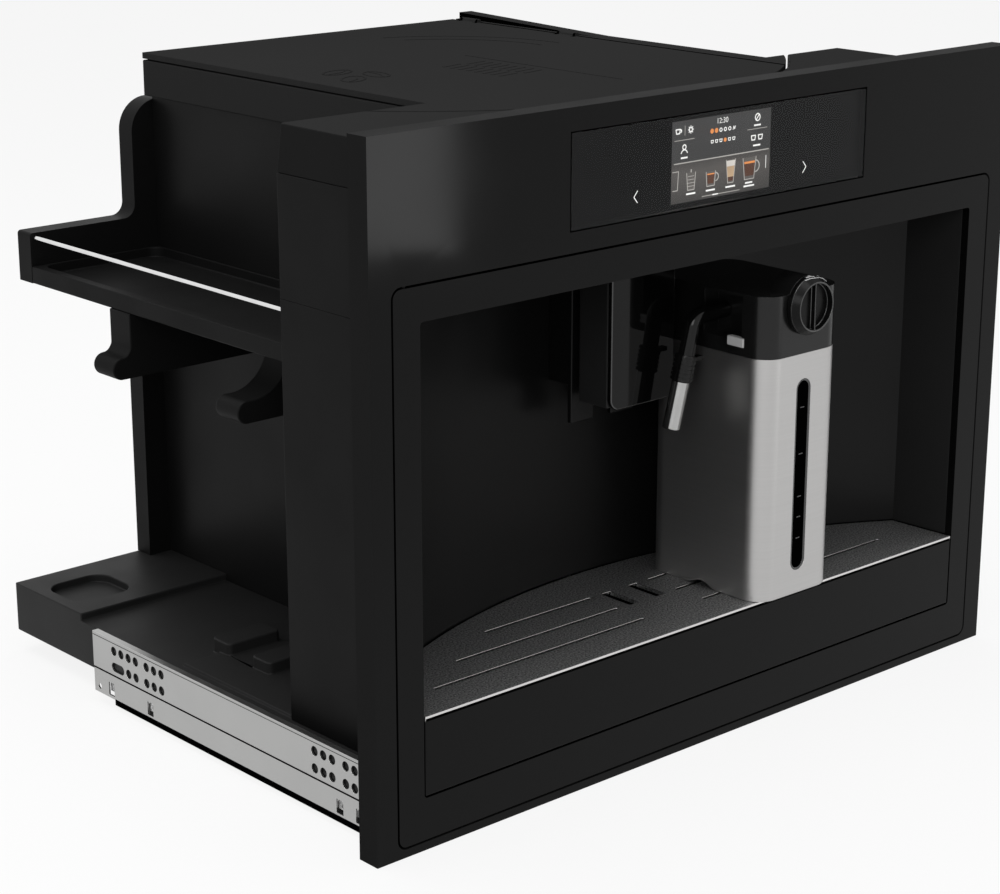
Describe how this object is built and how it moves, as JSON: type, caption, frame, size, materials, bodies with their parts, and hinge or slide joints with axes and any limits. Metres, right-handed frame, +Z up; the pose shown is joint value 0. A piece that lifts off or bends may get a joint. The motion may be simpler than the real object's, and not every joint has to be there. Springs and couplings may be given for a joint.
{
  "type": "built-in coffee machine",
  "caption": "Built-in automatic coffee machine with a wide front panel, swing-out cup niche, milk jug, drip tray, touch display, side bay and pull-out rails.",
  "frame": {"origin": "middle of the bounding box in X and Y, at its lowest point", "axes": "+X across the front panel towards the right for someone facing it, +Y into the cabinet, +Z up"},
  "size_m": [0.596, 0.486, 0.455],
  "materials": {
    "black_lacquer": "satin",
    "lacquered_moulding": "satin",
    "gloss_black": "gloss",
    "dark_glass": "gloss",
    "display": "gloss",
    "dark_plastic": "satin",
    "housing_plastic": "matte",
    "housing_sheet": "matte",
    "stainless": "brushed",
    "satin_metal": "satin",
    "light_plastic": "satin",
    "zinc": "satin",
    "chrome": "polished",
    "clear_plastic": "gloss",
    "hose": "satin",
    "board": "satin"
  },
  "bodies": {
    "machine": {"front_panel": "lacquered_moulding", "control_glass": "dark_glass", "display_module": "display", "left_column_lower": "housing_plastic", "left_column_upper": "housing_plastic", "right_column_lower": "housing_plastic", "right_column_upper": "housing_plastic", "front_top_cover": "housing_plastic", "hinge_strip": "housing_plastic", "top_frame": "housing_plastic", "left_wall": "housing_sheet", "right_wall": "housing_sheet", "rear_plate": "housing_plastic", "case_screws": "zinc", "accessory_shelf": "housing_plastic", "shelf_rod": "chrome", "shelf_arms": "housing_plastic", "base_pan": "housing_plastic", "tray_sill": "housing_plastic", "inner_chassis": "zinc", "bean_hopper": "clear_plastic", "grinder_housing": "dark_plastic", "brew_unit": "dark_plastic", "boiler": "stainless", "pump": "dark_plastic", "inner_hoses": "hose", "water_tank": "clear_plastic", "main_board": "board", "power_inlet": "dark_plastic", "left_rail_inner": "zinc", "right_rail_inner": "zinc"},
    "door": {"door_frame": "black_lacquer", "niche_shell": "dark_plastic", "spout_guide": "dark_plastic", "milk_dock": "dark_plastic"},
    "spout": {"spout_body": "dark_plastic", "spout_plate": "gloss_black", "coffee_nozzles": "dark_plastic"},
    "jug": {"jug_shell": "stainless", "jug_liner": "dark_plastic"},
    "jug_top": {"jug_lid": "dark_plastic", "suction_tube": "stainless"},
    "knob": {"froth_knob": "dark_plastic"},
    "pipe": {"milk_pipe": "dark_plastic", "pipe_collar": "dark_plastic", "pipe_tip": "stainless"},
    "left_button": {"left_release_button": "light_plastic"},
    "right_button": {"right_release_button": "light_plastic"},
    "tray": {"drip_tray": "dark_plastic", "tray_fascia": "black_lacquer", "drip_grate": "satin_metal", "grounds_container": "dark_plastic"},
    "lid": {"top_lid": "housing_plastic"},
    "left_outer": {"left_rail_outer": "zinc"},
    "left_middle": {"left_rail_middle": "zinc"},
    "right_outer": {"right_rail_outer": "zinc"},
    "right_middle": {"right_rail_middle": "zinc"},
    "dial": {"grind_dial": "dark_plastic"},
    "burr": {"lower_burr": "stainless"},
    "piston": {"brew_piston": "light_plastic"},
    "rocker": {"mains_switch": "dark_plastic"}
  },
  "joints": [
    {"name": "service_door", "type": "hinge", "parent": "machine", "child": "door", "pos_m": [-0.27, -0.22575, 0.007], "axis": [0, 0, -1], "range_deg": [0, 95]},
    {"name": "spout_slide", "type": "slide", "parent": "door", "child": "spout", "axis": [0, 0, -1], "range_m": [0, 0.06]},
    {"name": "jug_slide", "type": "slide", "parent": "door", "child": "jug", "axis": [0, -1, 0], "range_m": [0, 0.15]},
    {"name": "jug_lid_lift", "type": "slide", "parent": "jug", "child": "jug_top", "axis": [0, 0, 1], "range_m": [0, 0.018]},
    {"name": "froth_knob_turn", "type": "hinge", "parent": "jug_top", "child": "knob", "pos_m": [0.079, -0.23375, 0.2985], "axis": [0, 1, 0], "range_deg": [0, 90]},
    {"name": "milk_pipe_swivel", "type": "hinge", "parent": "jug_top", "child": "pipe", "pos_m": [0.0656, -0.18275, 0.291], "axis": [-1, 0, 0], "range_deg": [0, 45]},
    {"name": "left_button_press", "type": "slide", "parent": "jug_top", "child": "left_button", "axis": [1, 0, 0], "range_m": [0, 0.002], "stiffness_N_per_m": 300, "springref_m": -0.001},
    {"name": "right_button_press", "type": "slide", "parent": "jug_top", "child": "right_button", "axis": [-1, 0, 0], "range_m": [0, 0.002], "stiffness_N_per_m": 300, "springref_m": -0.001},
    {"name": "drip_tray_slide", "type": "slide", "parent": "machine", "child": "tray", "axis": [0, -1, 0], "range_m": [0, 0.2]},
    {"name": "top_lid_hinge", "type": "hinge", "parent": "machine", "child": "lid", "pos_m": [0.163, 0.07625, 0.443], "axis": [0, 1, 0], "range_deg": [0, 95]},
    {"name": "left_rail_outer_slide", "type": "slide", "parent": "machine", "child": "left_outer", "axis": [0, 1, 0], "range_m": [0, 0.3]},
    {"name": "left_rail_middle_slide", "type": "slide", "parent": "machine", "child": "left_middle", "axis": [0, 1, 0], "range_m": [0, 0.15]},
    {"name": "right_rail_outer_slide", "type": "slide", "parent": "machine", "child": "right_outer", "axis": [0, 1, 0], "range_m": [0, 0.3]},
    {"name": "right_rail_middle_slide", "type": "slide", "parent": "machine", "child": "right_middle", "axis": [0, 1, 0], "range_m": [0, 0.15]},
    {"name": "grind_dial_turn", "type": "hinge", "parent": "machine", "child": "dial", "pos_m": [-0.11, 0.09625, 0.332], "axis": [0, 0, 1], "range_deg": [0, 120]},
    {"name": "burr_spin", "type": "hinge", "parent": "machine", "child": "burr", "pos_m": [-0.076, 0.03325, 0.245], "axis": [0, 0, 1], "continuous": true},
    {"name": "brew_piston_stroke", "type": "slide", "parent": "machine", "child": "piston", "axis": [0, 0, -1], "range_m": [0, 0.03]},
    {"name": "mains_switch_rock", "type": "hinge", "parent": "machine", "child": "rocker", "pos_m": [0.092, 0.23325, 0.084], "axis": [1, 0, 0], "range_deg": [0, 14]}
  ],
  "couplings": [
    {"joint": "left_rail_middle_slide", "follows": "left_rail_outer_slide", "ratio": 0.5},
    {"joint": "right_rail_outer_slide", "follows": "left_rail_outer_slide", "ratio": 1},
    {"joint": "right_rail_middle_slide", "follows": "left_rail_outer_slide", "ratio": 0.5}
  ]
}
